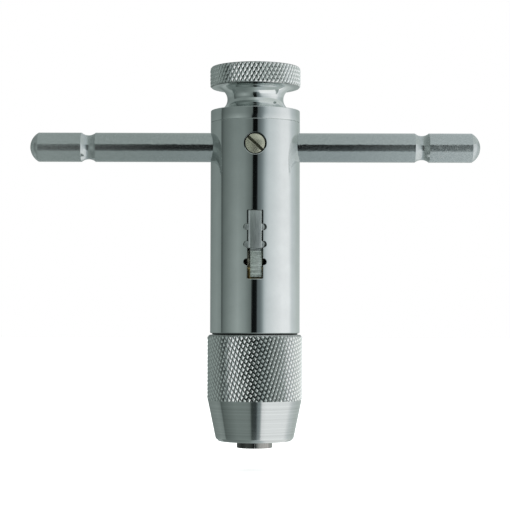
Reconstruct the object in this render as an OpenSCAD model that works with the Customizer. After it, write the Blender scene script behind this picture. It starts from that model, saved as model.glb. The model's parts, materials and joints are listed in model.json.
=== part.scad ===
// T-handle ratchet tap wrench. A cross bar slides through the body, a thumb slider on the
// front sets the ratchet, and a two-jaw chuck grips the square end of a tap.
// The origin is on the tool axis at the jaw tips, +Z runs up the tool and X along the bar.

/* [Body] */
// Outside diameter of the body sleeve and of the head's flange
body_d = 19.8; // [19.7:0.05:19.9]
// Diameter of the bore that runs through the body sleeve
bore_d = 15.2; // [15.1:0.05:15.3]
// Height of the sleeve's lower end above the jaw tips
body_bottom = 25.2; // [25.15:0.05:25.4]
// Height of the seam between the sleeve and the head
body_top = 71.8; // [71.6:0.1:72.2]
// Bevel around the lower end of the sleeve
body_bevel = 0.3; // [0.1:0.1:0.5]

/* [Head] */
// Height of the flange's upper face
flange_top = 74.5; // [74.3:0.1:74.7]
// Height of the knurled head's lower face
head_bottom = 79.7; // [79.5:0.1:79.9]
// Height of the knurled head's upper face
head_top = 84.2; // [83.5:0.1:84.5]
// Diameter over the knurled head
head_d = 20.1; // [19.9:0.1:20.3]
// Diameter of the neck at its waist
neck_waist_d = 12.46; // [12.3:0.1:12.7]
// Diameter of the neck where it meets the flange and the head
neck_end_d = 17.4; // [17.2:0.1:17.6]

/* [Cross bar] */
// Diameter of the sliding cross bar
bar_d = 6.5; // [6.4:0.05:6.5]
// Length of the cross bar
bar_l = 100; // [98:1:102]
// Height of the cross bar's axis above the jaw tips
bar_z = 66.4; // [66.2:0.1:66.6]
// Distance from the middle of the bar to each detent groove
bar_groove_x = 37; // [36:0.5:38]
// Depth of a detent groove
bar_groove_depth = 0.58; // [0.4:0.02:0.6]

/* [Selector] */
// Width of the window that the thumb slider looks out of
window_w = 3.35; // [3.3:0.05:3.4]
// Height of the window's lower end
window_bottom = 37; // [36.9:0.1:37.1]
// Height of the window's upper end
window_top = 51.9; // [51.9:0.1:52.1]
// Travel of the thumb slider, one notch pitch
selector_travel = 3.8; // [3.7:0.05:3.8]

/* [Ratchet] */
// Number of teeth on the ratchet wheel
wheel_teeth = 12; // [12, 24]
// Diameter over the teeth of the ratchet wheel
wheel_d = 13; // [12.9:0.1:13]
// Depth of the gaps between the teeth
tooth_depth = 0.8; // [0.7:0.05:0.8]

/* [Chuck] */
// Diameter over the knurling of the chuck nut
nut_d = 21; // [20.9:0.1:21.1]
// Height of the nut's nose face with the chuck closed
nut_bottom = 1.5; // [1.5:0.1:1.6]
// Height where the nut's plain cone ends and its knurling begins
knurl_bottom = 10.5; // [10.4:0.1:10.7]
// Diameter of the chuck thread
thread_d = 18; // [17.9:0.1:18]
// Half angle of the cone that closes the jaws, in degrees
cone_angle = 20; // [19.8:0.1:20]
// Diameter over the two closed jaw tips
jaw_tip_d = 7.86; // [7.7:0.02:7.9]

/* [Hidden] */
$fn = 96;
eps = 0.01;
cut = 1;                        // how far a cutter runs past the face it opens
running_fit = 0.05;             // radial clearance of a running fit
press_gap = 0.02;               // radial clearance drawn for a pressed or screwed fit
body_r = body_d / 2;
bore_r = bore_d / 2;
bar_r = bar_d / 2;

// Head
neck_h = head_bottom - flange_top;
neck_mid = flange_top + neck_h / 2;
neck_sag = (neck_end_d - neck_waist_d) / 2;
neck_arc_r = (pow(neck_h / 2, 2) + pow(neck_sag, 2)) / (2 * neck_sag);
head_chamfer = 0.35;
flange_bevel = 0.15;
spigot_bottom = 59.5;
spigot_r = bore_r - running_fit;

// Cross bar
bar_tip_r = 3.1;                // radius of the rounded tip
bar_chamfer = 0.8;
bar_chamfer_x = bar_l / 2 - 2;
groove_arc_r = 2.4;

// Detent that holds the cross bar
ball_r = 1.5;
ball_y = -(bar_r + ball_r + press_gap);
detent_hole_r = ball_r + running_fit;
screw_r = 2.15;
screw_face_y = -(body_r - 0.15);
screw_inner_y = -8;
screw_dome_r = 9;
screw_slot_w = 0.75;
screw_slot_depth = 0.6;
screw_slot_angle = 43;
screw_recess_r = 2.375;
screw_recess_depth = 0.35;

// Selector: a keyway inside the sleeve, with the window through what is left of the wall
keyway_w = 5.4;
keyway_y = -9.1;
keyway_top = 56.6;
notch_r = 0.75;
notch_z = [48.2, 44.45, 40.65];
window_corner_r = 0.3;
button_w = 2.85;
button_bottom = 43.7;
button_face_r = body_r - 0.05;
plate_w = 5.1;
plate_front_y = -8.6;
plate_back_y = -7.7;
plate_top = 56.2;
lug_w = 3.9;
lug_h = 1.3;
lug_y = -9;
tongue_w = 2.5;
tongue_x = 0.2;
tongue_bottom = 37.4;
rib_pitch = 0.9;
rib_groove = 0.35;
rib_count = 6;
guide_w = 3.8;
guide_y = -6.85;
guide_wall = 0.55;

// Pawl: a spring plunger with three zones, one above the other
pawl_z = 47;
pawl_h = 5.6;
pawl_w = 1.9;
pawl_back_y = -8.15;
pawl_shoulder_y = -7;
pawl_tip_y = -(wheel_d / 2 - tooth_depth + 0.1);
pawl_bevel_y = -6.65;
nose_w = 1.1;
nose_tip_w = 1;
nose_bevel_w = 0.35;
pocket_y = -9;
pocket_gap = 0.05;
spring_hole_r = 0.7;
spring_hole_y = -6.7;

// Ratchet wheel and what holds it on the spindle
wheel_h = 1.7;
wheel_z = pawl_z - selector_travel / 2;
wheel_bottom = wheel_z - wheel_h / 2;
gap_root_w = 1.3;
gap_tip_w = 1.7;
shaft_r = 4;
shaft_top = 48.9;
journal_r = 5;
bush_top = 39.6;
journal_top = bush_top + 0.05;
spacer_r = 5.6;
key_w = 1.5;
key_in_y = 3.2;
key_out_y = 4.8;
key_bottom = 42.6;
washer_h = 0.75;
washer_r = 5.4;
ring_h = 0.65;
ring_r = 4.9;
ring_in_r = 3.62;
ring_gap_w = 2.4;
stack_gap = 0.05;
washer_z = wheel_bottom + wheel_h + stack_gap;
ring_z = washer_z + washer_h + stack_gap;

// Chuck
thrust_h = 0.25;
thrust_z = body_bottom - thrust_h - 0.03;
thrust_r = 9.45;
chuck_top = thrust_z - stack_gap;
thread_r = thread_d / 2;
thread_bottom = 10.85;
jaw_slot_w = 6.1;
jaw_slot_top = 18.2;
cone_mouth_r = 4.6;
cone_mouth_z = 1.6;
cone_slope = tan(cone_angle);
cone_gap = 0.04;
cone_ring_r = 8.1;
cone_ring_nose_r = 6.98;
cone_ring_step = 3.6;
cone_ring_top = 10.3;
nut_r = nut_d / 2;
nut_cone_top_r = 10.36;
nut_cone_bottom_r = 8.5;
nut_nose_r = 7.5;
nut_nose_h = 0.83;
nut_chamfer = 0.5;
nut_relief_z = 10.7;
jaw_r = 5.4;
jaw_top = 17.9;
jaw_w = 6;
jaw_step_z = 1.7;
jaw_split = 0.05;
jaw_guide_z = 10.2;
vee_depth = 1.65;
vee_top = 12;
jaw_spring_z = 15;
jaw_spring_hole_r = 1.45;
jaw_spring_hole_x = 2.3;

function cone_r(z) = cone_mouth_r + (z - cone_mouth_z) * cone_slope;

// A box given by its lowest and highest corners
module box(low, high) {
    translate(low)
        cube([high[0] - low[0], high[1] - low[1], high[2] - low[2]]);
}

// A solid cylinder from one height to another
module rod(r, z0, z1) {
    translate([0, 0, z0])
        cylinder(h = z1 - z0, r = r);
}

// A cone from radius r0 at height z0 to radius r1 at height z1
module taper(r0, z0, r1, z1) {
    translate([0, 0, z0])
        cylinder(h = z1 - z0, r1 = r0, r2 = r1);
}

// A cylinder along Y at a given place
module rod_y(r, y0, y1, x = 0, z = 0) {
    translate([x, y0, z])
        rotate([-90, 0, 0])
            cylinder(h = y1 - y0, r = r);
}

// A cylinder along X at a given height
module rod_x(r, x0, x1, z) {
    translate([x0, 0, z])
        rotate([0, 90, 0])
            cylinder(h = x1 - x0, r = r);
}

// A helical compression spring of round wire, from z = 0 up to its length
module coil_spring(mean_r, wire_d, length, turns) {
    sides = 6;
    per_turn = 14;
    steps = turns * per_turn;
    wire_r = wire_d / 2;
    rise = length - wire_d;
    lean = atan(rise / turns / (2 * PI * mean_r));
    function wire_point(i, k) =
        let (turn = 360 * i / per_turn,
             around = 360 * k / sides,
             out = mean_r + wire_r * cos(around),
             up = wire_r * sin(around))
        [out * cos(turn) + up * sin(lean) * sin(turn),
         out * sin(turn) - up * sin(lean) * cos(turn),
         wire_r + rise * i / steps + up * cos(lean)];
    function next(k) = (k + 1) % sides;
    points = [for (i = [0:steps]) for (k = [0:sides - 1]) wire_point(i, k)];
    walls_a = [for (i = [0:steps - 1]) for (k = [0:sides - 1])
        [i * sides + k, (i + 1) * sides + next(k), i * sides + next(k)]];
    walls_b = [for (i = [0:steps - 1]) for (k = [0:sides - 1])
        [i * sides + k, (i + 1) * sides + k, (i + 1) * sides + next(k)]];
    start_cap = [for (k = [0:sides - 1]) k];
    end_cap = [for (k = [sides - 1:-1:0]) steps * sides + k];
    polyhedron(points, concat(walls_a, walls_b, [start_cap], [end_cap]));
}

// The sleeve: bored through, with a keyway on its front for the thumb slider
module body_sleeve() {
    color("gainsboro")
        difference() {
            union() {
                taper(body_r - body_bevel, body_bottom, body_r, body_bottom + body_bevel);
                rod(body_r, body_bottom + body_bevel, body_top);
            }
            rod(bore_r, body_bottom - cut, body_top + cut);
            box([-keyway_w / 2, keyway_y, body_bottom - cut], [keyway_w / 2, -bore_r / 2, keyway_top]);
            selector_window();
            rod_x(bar_r + running_fit, -body_r - cut, body_r + cut, bar_z);
            rod_y(screw_r + press_gap, -body_r - cut, -bore_r / 2, 0, bar_z);
            rod_y(screw_recess_r, -body_r - cut, -body_r + screw_recess_depth, 0, bar_z);
        }
}

// The window: rounded corners, and three pairs of notches on its long sides
module selector_window() {
    front = -body_r - cut;
    back = keyway_y + cut / 2;
    half_w = window_w / 2;
    r = window_corner_r;
    box([r - half_w, front, window_bottom], [half_w - r, back, window_top]);
    box([-half_w, front, window_bottom + r], [half_w, back, window_top - r]);
    for (side = [-1, 1]) {
        for (z = notch_z)
            rod_y(notch_r, front, back, side * half_w, z);
        for (z = [window_bottom + r, window_top - r])
            rod_y(r, front, back, side * (half_w - r), z);
    }
}

// The head: knurled knob, waisted neck and flange, on a spigot that fills the sleeve's bore
module head_knob() {
    color("silver")
        difference() {
            union() {
                rod(spigot_r, spigot_bottom, body_top + eps);
                rod(body_r, body_top, flange_top - flange_bevel);
                taper(body_r, flange_top - flange_bevel, body_r - flange_bevel, flange_top);
                difference() {
                    rod(neck_end_d / 2, flange_top - cut / 2, head_bottom + cut / 2);
                    translate([0, 0, neck_mid])
                        rotate_extrude()
                            translate([neck_waist_d / 2 + neck_arc_r, 0])
                                circle(r = neck_arc_r);
                }
                taper(head_d / 2 - head_chamfer, head_bottom, head_d / 2, head_bottom + head_chamfer);
                rod(head_d / 2, head_bottom + head_chamfer, head_top - head_chamfer);
                taper(head_d / 2, head_top - head_chamfer, head_d / 2 - head_chamfer, head_top);
            }
            rod_x(bar_r + running_fit, -body_r, body_r, bar_z);
            rod_y(detent_hole_r, -body_r, -bar_r / 2, 0, bar_z);
            rod_y(screw_r + press_gap, -body_r, screw_inner_y + cut, 0, bar_z);
        }
}

// The slotted screw on the front that presses the detent on the cross bar
module detent_screw() {
    color("darkkhaki")
        difference() {
            intersection() {
                rod_y(screw_r, screw_face_y, screw_inner_y, 0, bar_z);
                translate([0, screw_face_y + screw_dome_r, bar_z])
                    sphere(r = screw_dome_r);
            }
            translate([0, screw_face_y, bar_z])
                rotate([0, screw_slot_angle, 0])
                    box([-body_r / 2, -cut, -screw_slot_w / 2], [body_r / 2, screw_slot_depth, screw_slot_w / 2]);
        }
}

module detent_spring() {
    color("lightsteelblue")
        translate([0, screw_inner_y + press_gap, bar_z])
            rotate([-90, 0, 0])
                coil_spring(mean_r = 1, wire_d = 0.34, length = 1.95, turns = 3);
}

module detent_ball() {
    color("silver")
        translate([0, ball_y, bar_z])
            sphere(r = ball_r);
}

// Bush pressed into the sleeve, in which the spindle turns
module spindle_bush() {
    color("goldenrod")
        difference() {
            rod(bore_r - press_gap, body_bottom, bush_top);
            rod(journal_r + running_fit, body_bottom - cut, bush_top + cut);
        }
}

// Thin dark washer between the sleeve and the chuck
module thrust_washer() {
    color("dimgray")
        difference() {
            rod(thrust_r, thrust_z, thrust_z + thrust_h);
            rod(journal_r + 2 * running_fit, thrust_z - cut, body_bottom + cut);
        }
}

// The sliding T bar: bevelled, rounded ends and a detent groove near each end
module cross_bar() {
    color("silver")
        difference() {
            union() {
                rod_x(bar_r, -bar_chamfer_x, bar_chamfer_x, bar_z);
                for (side = [-1, 1])
                    translate([side * bar_chamfer_x, 0, bar_z]) {
                        rotate([0, side * 90, 0])
                            cylinder(h = bar_chamfer, r1 = bar_r, r2 = bar_r - bar_chamfer);
                        translate([side * (bar_l / 2 - bar_tip_r - bar_chamfer_x), 0, 0])
                            sphere(r = bar_tip_r);
                    }
            }
            for (side = [-1, 1])
                translate([side * bar_groove_x, 0, bar_z])
                    rotate([0, 90, 0])
                        rotate_extrude()
                            translate([bar_r - bar_groove_depth + groove_arc_r, 0])
                                circle(r = groove_arc_r);
        }
}

// The thumb slider: a button in the window, a plate behind the wall and a guide for the pawl
module selector_slider() {
    color("lightgray")
        difference() {
            union() {
                intersection() {
                    rod(button_face_r, button_bottom, window_top - 0.1);
                    box([-button_w / 2, -body_r, 0], [button_w / 2, plate_front_y + eps, body_top]);
                }
                box([-plate_w / 2, plate_front_y, button_bottom], [plate_w / 2, plate_back_y, plate_top]);
                for (z = [notch_z[0], notch_z[1]])
                    box([-lug_w / 2, lug_y, z - lug_h / 2], [lug_w / 2, plate_front_y + eps, z + lug_h / 2]);
                box([tongue_x - tongue_w / 2, plate_front_y, tongue_bottom],
                    [tongue_x + tongue_w / 2, plate_back_y, button_bottom + eps]);
                box([-guide_w / 2, plate_back_y - eps, pawl_z - pawl_h / 2 - guide_wall],
                    [guide_w / 2, guide_y, pawl_z + pawl_h / 2 + guide_wall]);
            }
            box([-pawl_w / 2 - pocket_gap, pocket_y, pawl_z - pawl_h / 2 - pocket_gap],
                [pawl_w / 2 + pocket_gap, guide_y + cut, pawl_z + pawl_h / 2 + pocket_gap]);
            for (i = [0:rib_count - 1])
                translate([0, plate_front_y, tongue_bottom + 0.9 + i * rib_pitch])
                    box([-tongue_w, -cut, -rib_groove / 2], [tongue_w, rib_groove / 2, rib_groove / 2]);
        }
}

module pawl_spring() {
    color("lightsteelblue")
        translate([0, pocket_y + press_gap, pawl_z])
            rotate([-90, 0, 0])
                coil_spring(mean_r = 0.52, wire_d = 0.22, length = 2.2, turns = 5);
}

// Outline of the pawl's nose seen from above, bevelled on the side where the wheel slips past
module nose_outline(bevel_side) {
    half_w = nose_w / 2;
    half_tip = nose_tip_w / 2;
    if (bevel_side == 0)
        polygon([[-half_w, pawl_shoulder_y], [half_w, pawl_shoulder_y], [half_tip, pawl_tip_y],
                 [-half_tip, pawl_tip_y]]);
    else
        scale([bevel_side, 1])
            polygon([[-half_w, pawl_shoulder_y], [half_w, pawl_shoulder_y], [half_w, pawl_bevel_y],
                     [nose_bevel_w - half_tip, pawl_tip_y], [-half_tip, pawl_tip_y]]);
}

// The pawl: its low zone drives one way, its high zone the other, and the middle one locks
module pawl() {
    zone_h = pawl_h / 3;
    color("slategray")
        difference() {
            union() {
                box([-pawl_w / 2, pawl_back_y, pawl_z - pawl_h / 2],
                    [pawl_w / 2, pawl_shoulder_y + eps, pawl_z + pawl_h / 2]);
                for (zone = [-1, 0, 1])
                    translate([0, 0, pawl_z + (zone - 0.5) * zone_h])
                        linear_extrude(zone_h)
                            nose_outline(-zone);
            }
            rod_y(spring_hole_r, pawl_back_y - cut, spring_hole_y, 0, pawl_z);
        }
}

// The spindle: slotted threaded end for the jaws, journal, and a shaft for the ratchet wheel
module spindle() {
    color("silver")
        difference() {
            union() {
                rod(thread_r, thread_bottom, chuck_top);
                rod(journal_r, chuck_top - eps, journal_top);
                rod(shaft_r, journal_top - eps, shaft_top);
            }
            box([-thread_r - cut, -jaw_slot_w / 2, thread_bottom - cut],
                [thread_r + cut, jaw_slot_w / 2, jaw_slot_top]);
            box([-key_w / 2, key_in_y, key_bottom], [key_w / 2, shaft_r + cut, shaft_top + cut]);
            difference() {
                rod(shaft_r + cut, ring_z - press_gap, ring_z + ring_h + press_gap);
                rod(ring_in_r - press_gap, ring_z - cut, ring_z + ring_h + cut);
            }
        }
}

// Plain collar that sets the wheel's height and holds the spindle up in its bush
module wheel_spacer() {
    color("darkgray")
        difference() {
            rod(spacer_r, bush_top + 2 * stack_gap, wheel_bottom - stack_gap);
            rod(shaft_r + press_gap, bush_top, wheel_bottom);
            box([-key_w / 2, 0, key_bottom - stack_gap], [key_w / 2, key_out_y + stack_gap, wheel_bottom]);
        }
}

// The ratchet wheel, a disc with straight-sided gaps all round it
module ratchet_wheel() {
    root_y = wheel_d / 2 - tooth_depth;
    color("slategray")
        difference() {
            rod(wheel_d / 2, wheel_bottom, wheel_bottom + wheel_h);
            rod(shaft_r + press_gap, wheel_bottom - cut, wheel_bottom + wheel_h + cut);
            box([-key_w / 2 - press_gap, 0, wheel_bottom - cut],
                [key_w / 2 + press_gap, key_out_y + press_gap, wheel_bottom + wheel_h + cut]);
            for (i = [0:wheel_teeth - 1])
                rotate([0, 0, i * 360 / wheel_teeth])
                    translate([0, 0, wheel_bottom - cut])
                        linear_extrude(wheel_h + 2 * cut)
                            polygon([[-gap_root_w / 2, -root_y], [gap_root_w / 2, -root_y],
                                     [gap_tip_w / 2, -wheel_d / 2 - cut], [-gap_tip_w / 2, -wheel_d / 2 - cut]]);
        }
}

module wheel_key() {
    color("gray")
        box([-key_w / 2 + press_gap, key_in_y + press_gap, key_bottom + press_gap],
            [key_w / 2 - press_gap, key_out_y, wheel_bottom + wheel_h]);
}

module wheel_washer() {
    color("darkgray")
        difference() {
            rod(washer_r, washer_z, washer_z + washer_h);
            rod(shaft_r + press_gap, washer_z - cut, washer_z + washer_h + cut);
        }
}

// Open ring that snaps into the groove of the shaft
module retaining_ring() {
    color("dimgray")
        difference() {
            rod(ring_r, ring_z, ring_z + ring_h);
            rod(ring_in_r, ring_z - cut, ring_z + ring_h + cut);
            box([-ring_gap_w / 2, 0, ring_z - cut], [ring_gap_w / 2, ring_r + cut, ring_z + ring_h + cut]);
        }
}

// Spring that pushes the two jaws apart
module jaw_spring() {
    length = 2 * (jaw_spring_hole_x - press_gap);
    color("lightsteelblue")
        translate([-length / 2, 0, jaw_spring_z])
            rotate([0, 90, 0])
                coil_spring(mean_r = 1.12, wire_d = 0.36, length = length, turns = 6);
}

// Hardened ring in the nut, whose cone closes the jaws
module cone_ring() {
    color("slategray")
        difference() {
            union() {
                rod(cone_ring_nose_r, nut_bottom, cone_ring_step + eps);
                rod(cone_ring_r, cone_ring_step, cone_ring_top);
            }
            taper(cone_r(nut_bottom - cut), nut_bottom - cut, cone_r(cone_ring_top + cut), cone_ring_top + cut);
        }
}

// The chuck nut: knurled grip, plain cone and nose, threaded inside
module chuck_nut() {
    nose_top = nut_bottom + nut_nose_h;
    color("silver")
        difference() {
            union() {
                taper(nut_nose_r, nut_bottom, nut_cone_bottom_r, nose_top);
                taper(nut_cone_bottom_r, nose_top, nut_cone_top_r, knurl_bottom);
                rod(nut_r, knurl_bottom, chuck_top - nut_chamfer);
                taper(nut_r, chuck_top - nut_chamfer, nut_r - nut_chamfer, chuck_top);
            }
            rod(cone_ring_nose_r + press_gap, nut_bottom - cut, cone_ring_step + cut);
            rod(cone_ring_r + running_fit, cone_ring_step, nut_relief_z + eps);
            rod(thread_r + running_fit, nut_relief_z, chuck_top + cut);
        }
}

// One jaw, on the +X side: half round below, a slab in the spindle's slot above, with a vee
module jaw() {
    cone_top = cone_mouth_z + (jaw_r + cone_gap - cone_mouth_r) / cone_slope;
    difference() {
        intersection() {
            union() {
                rod(jaw_tip_d / 2, 0, jaw_step_z + eps);
                taper(cone_r(jaw_step_z) - cone_gap, jaw_step_z, jaw_r, cone_top);
                rod(jaw_r, cone_top, jaw_top);
            }
            union() {
                box([jaw_split, -body_r, 0], [body_r, body_r, jaw_guide_z + eps]);
                box([jaw_split, -jaw_w / 2, jaw_guide_z], [body_r, jaw_w / 2, jaw_top]);
            }
        }
        translate([0, 0, -cut])
            linear_extrude(vee_top + cut)
                polygon([[-cut, -vee_depth - cut], [vee_depth, 0], [-cut, vee_depth + cut]]);
        rod_x(jaw_spring_hole_r, -cut, jaw_spring_hole_x, jaw_spring_z);
    }
}

module jaw_right() {
    color("dimgray")
        jaw();
}

module jaw_left() {
    color("dimgray")
        mirror([1, 0, 0])
            jaw();
}

body_sleeve();
head_knob();
detent_screw();
detent_spring();
detent_ball();
spindle_bush();
thrust_washer();
cross_bar();
selector_slider();
pawl_spring();
pawl();
spindle();
wheel_spacer();
ratchet_wheel();
wheel_key();
wheel_washer();
retaining_ring();
jaw_spring();
cone_ring();
chuck_nut();
jaw_left();
jaw_right();
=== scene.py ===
"""Looks of a T-handle ratchet tap wrench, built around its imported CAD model.

Everything is in metres, in the CAD's frame: +Z up the tool axis, X along the cross bar and -Y out
of the front. Turned pieces are rings of points joined into closed meshes, so the knurling, the
threads and the rounded edges are real geometry.
"""
import json
import math

import bmesh
import bpy
from mathutils import Matrix, Vector, noise


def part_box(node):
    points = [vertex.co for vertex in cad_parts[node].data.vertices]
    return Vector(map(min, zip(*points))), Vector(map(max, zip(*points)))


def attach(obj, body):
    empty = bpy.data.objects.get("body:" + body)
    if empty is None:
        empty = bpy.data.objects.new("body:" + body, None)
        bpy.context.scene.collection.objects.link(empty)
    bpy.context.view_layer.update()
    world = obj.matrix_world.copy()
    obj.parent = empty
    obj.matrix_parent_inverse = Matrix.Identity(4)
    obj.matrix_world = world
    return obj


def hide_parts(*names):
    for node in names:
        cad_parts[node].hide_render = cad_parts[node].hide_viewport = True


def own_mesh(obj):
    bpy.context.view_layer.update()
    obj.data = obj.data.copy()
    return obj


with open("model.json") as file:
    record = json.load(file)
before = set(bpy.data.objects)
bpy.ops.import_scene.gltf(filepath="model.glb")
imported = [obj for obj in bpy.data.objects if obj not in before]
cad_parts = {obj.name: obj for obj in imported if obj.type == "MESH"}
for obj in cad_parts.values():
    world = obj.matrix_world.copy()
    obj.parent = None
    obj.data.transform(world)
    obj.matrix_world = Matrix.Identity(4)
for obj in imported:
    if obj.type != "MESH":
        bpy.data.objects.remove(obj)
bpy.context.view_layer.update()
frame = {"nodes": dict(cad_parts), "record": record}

NODES = frame["nodes"]
BODY_OF = {n: b for b, members in frame["record"]["behaviour"]["bodies"].items() for n in members}
MM = 0.001
TAU = 2 * math.pi


# ---------------------------------------------------------------- sizes, in millimetres
def low_mm(node):
    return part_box(node)[0] / MM


def high_mm(node):
    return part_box(node)[1] / MM


BODY_R = high_mm("body_sleeve").x
BODY_LOW, BODY_TOP = low_mm("body_sleeve").z, high_mm("body_sleeve").z
BORE_R = high_mm("spindle_bush").x
HEAD_R, HEAD_TOP = high_mm("head_knob").x, high_mm("head_knob").z
SPIGOT_LOW = low_mm("head_knob").z
NUT_R = high_mm("chuck_nut").y
NUT_LOW, NUT_TOP = low_mm("chuck_nut").z, high_mm("chuck_nut").z
BAR_R = high_mm("cross_bar").y
BAR_END = high_mm("cross_bar").x
BAR_Z = (high_mm("cross_bar").z + low_mm("cross_bar").z) / 2
THREAD_R = high_mm("spindle").x
THREAD_LOW, SHAFT_TOP = low_mm("spindle").z, high_mm("spindle").z

FIT = 0.05
THREAD_PITCH = 1.5
THREAD_DEPTH = 0.72
THREAD_FORM = [(0.0, 0), (0.16, 0), (0.437, 1), (0.723, 1)]  # (share of a turn, 1 at the thread's root)
HEAD_KNURL_DEPTH = 0.3
NUT_KNURL_DEPTH = 0.31
KNURL_STEPS = 4  # grid steps across half a diamond
KNURL_FLAT = 0.75  # share of the pitch that a groove takes up

# how far a cutter reaches, past every surface of the tool
BEYOND = 12
# the selector's window in the front of the sleeve, and the heights of the notches in its sides
WINDOW_LOW, WINDOW_TOP, WINDOW_HALF, WINDOW_CORNER = 37.0, 51.9, 1.675, 0.3
NOTCHES, NOTCH_R = (48.2, 44.45, 40.65), 0.75
WINDOW_OUT, WINDOW_IN = -11, -8.8
# the screw and, behind it, the ball's hole
SCREW_HOLE_R, SCREW_RECESS_R, BALL_HOLE_R = 2.17, 2.375, 1.55
TONGUE_X, PAWL_Z, JAW_SPRING_Z = 0.2, 47, 15
# the cone that closes the jaws
CONE_SLOPE = math.tan(math.radians(20))
CONE_MOUTH_R, CONE_MOUTH_Z = 4.6, 1.6


# ---------------------------------------------------------------- mesh tools
def link(name, mesh):
    """A new object for the mesh, linked to the scene."""
    piece = bpy.data.objects.new(name, mesh)
    bpy.context.scene.collection.objects.link(piece)
    return piece


def clean(mesh, sharp_deg=28):
    """Merges double points, drops faces with no area, turns normals out and marks sharp edges."""
    bm = bmesh.new()
    bm.from_mesh(mesh)
    bmesh.ops.remove_doubles(bm, verts=bm.verts, dist=2e-7)
    bmesh.ops.dissolve_degenerate(bm, dist=2e-7, edges=bm.edges)
    bmesh.ops.recalc_face_normals(bm, faces=bm.faces)
    limit = math.radians(sharp_deg)
    for face in bm.faces:
        face.smooth = True
    for edge in bm.edges:
        edge.smooth = len(edge.link_faces) == 2 and edge.calc_face_angle(0) < limit
    bm.to_mesh(mesh)
    bm.free()


def skin(name, rings, columns, closed=False, diagonal=None, helices=(), place=Matrix.Identity(4),
         sharp_deg=28):
    """Joins rings round the Z axis into a mesh.

    A ring is (radius, height) in millimetres, or a function of the column that gives them. A third
    value turns the point by that many columns. closed joins the last ring to the first, closed
    columns further round. diagonal(row, column) says which way a quad of knurling is cut into two
    triangles, or None. helices holds (first ring, last ring, jump): past its last column, such a
    ring goes on as the ring that many places further.
    """
    def after_seam(j):
        for first, last, jump in helices:
            if first <= j <= last:
                return min(max(j + jump, first), last)
        return j

    points = []
    for ring in rings:
        for k in range(columns):
            r, z, *turn = ring(k) if callable(ring) else ring
            angle = TAU * (k + sum(turn)) / columns
            points.append(place @ Vector((r * math.cos(angle), r * math.sin(angle), z)) * MM)
    faces = []
    rows = len(rings)
    for j in range(rows - 1):
        for k in range(columns):
            a, d = j * columns + k, (j + 1) * columns + k
            if k + 1 < columns:
                b, c = a + 1, d + 1
            else:
                b, c = after_seam(j) * columns, after_seam(j + 1) * columns
            way = diagonal(j, k) if diagonal else None
            if way is None:
                faces.append((a, b, c, d))
            elif way:
                faces += [(a, b, c), (a, c, d)]
            else:
                faces += [(a, b, d), (b, c, d)]
    if closed is not False:
        for k in range(columns):
            n = (k + 1) % columns
            last = (rows - 1) * columns
            faces.append((last + k, last + n, (n + closed) % columns, (k + closed) % columns))
    mesh = bpy.data.meshes.new(name)
    mesh.from_pydata(points, [], faces)
    clean(mesh, sharp_deg)
    return link(name, mesh)


def rounded(points, steps=5):
    """A profile of (r, z, fillet radius) corners as plain (r, z) points, with its corners rounded."""
    out = []
    for i, (r, z, fillet) in enumerate(points):
        here = Vector((r, z))
        if not fillet or i in (0, len(points) - 1):
            out.append((r, z))
            continue
        back = (Vector(points[i - 1][:2]) - here).normalized()
        ahead = (Vector(points[i + 1][:2]) - here).normalized()
        half = back.angle(ahead) / 2
        reach = fillet / math.tan(half)
        centre = here + (back + ahead).normalized() * fillet / math.sin(half)
        start, end = here + back * reach - centre, here + ahead * reach - centre
        turn = start.angle_signed(end)
        for s in range(steps + 1):
            arm = start.copy()
            arm.rotate(Matrix.Rotation(-turn * s / steps, 2))
            out.append(tuple(centre + arm))
    return out


def finished_mesh(piece):
    """Bakes the piece's modifiers into its mesh."""
    graph = bpy.context.evaluated_depsgraph_get()
    mesh = bpy.data.meshes.new_from_object(piece.evaluated_get(graph))
    piece.modifiers.clear()
    old = piece.data
    piece.data = mesh
    bpy.data.meshes.remove(old)


def carve(piece, cutters, how="DIFFERENCE"):
    """Cuts each cutter out of the piece, or joins it on with how="UNION", and removes the cutters."""
    for cutter in cutters:
        change = piece.modifiers.new("carve", "BOOLEAN")
        change.operation = how
        change.solver = "EXACT"
        change.object = cutter
    finished_mesh(piece)
    for cutter in cutters:
        bpy.data.objects.remove(cutter)
    clean(piece.data)


def block(low, high):
    """A box cutter between two corners in mm."""
    points = [Vector((x, y, z)) * MM for x in (low[0], high[0]) for y in (low[1], high[1])
              for z in (low[2], high[2])]
    faces = [(0, 1, 3, 2), (4, 6, 7, 5), (0, 4, 5, 1), (2, 3, 7, 6), (0, 2, 6, 4), (1, 5, 7, 3)]
    mesh = bpy.data.meshes.new("cutter")
    mesh.from_pydata(points, [], faces)
    clean(mesh)
    return link("cutter", mesh)


def along_x(x, y, z):
    """A placing at a point in mm that turns Z to X."""
    return Matrix.Translation((x, y, z)) @ Matrix.Rotation(math.radians(90), 4, "Y")


def along_y(x, y, z):
    """A placing at a point in mm that turns Z to Y."""
    return Matrix.Translation((x, y, z)) @ Matrix.Rotation(math.radians(-90), 4, "X")


def plug(radius, start, end, place, columns=64):
    """A round cutter from start to end, along the axis that place turns Z to."""
    return skin("cutter", [(0, start), (radius, start), (radius, end), (0, end)], columns, place=place)


def put(piece, node, *materials):
    """Makes a piece stand for a CAD node: rides on its body, takes its slot and gets its materials."""
    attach(piece, BODY_OF[node])
    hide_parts(node)
    dress(piece, *materials)


def dress(piece, *materials):
    """Gives a piece these materials and no others."""
    piece.data.materials.clear()
    for material in materials:
        piece.data.materials.append(material)


# ---------------------------------------------------------------- materials
def add(tree, kind, **settings):
    """Adds a shader node; a setting is an input socket by name (spaces as _) or a property."""
    made = tree.nodes.new(kind)
    for key, value in settings.items():
        socket = key.replace("_", " ")
        if socket in made.inputs:
            made.inputs[socket].default_value = value
        else:
            setattr(made, key, value)
    return made


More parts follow.
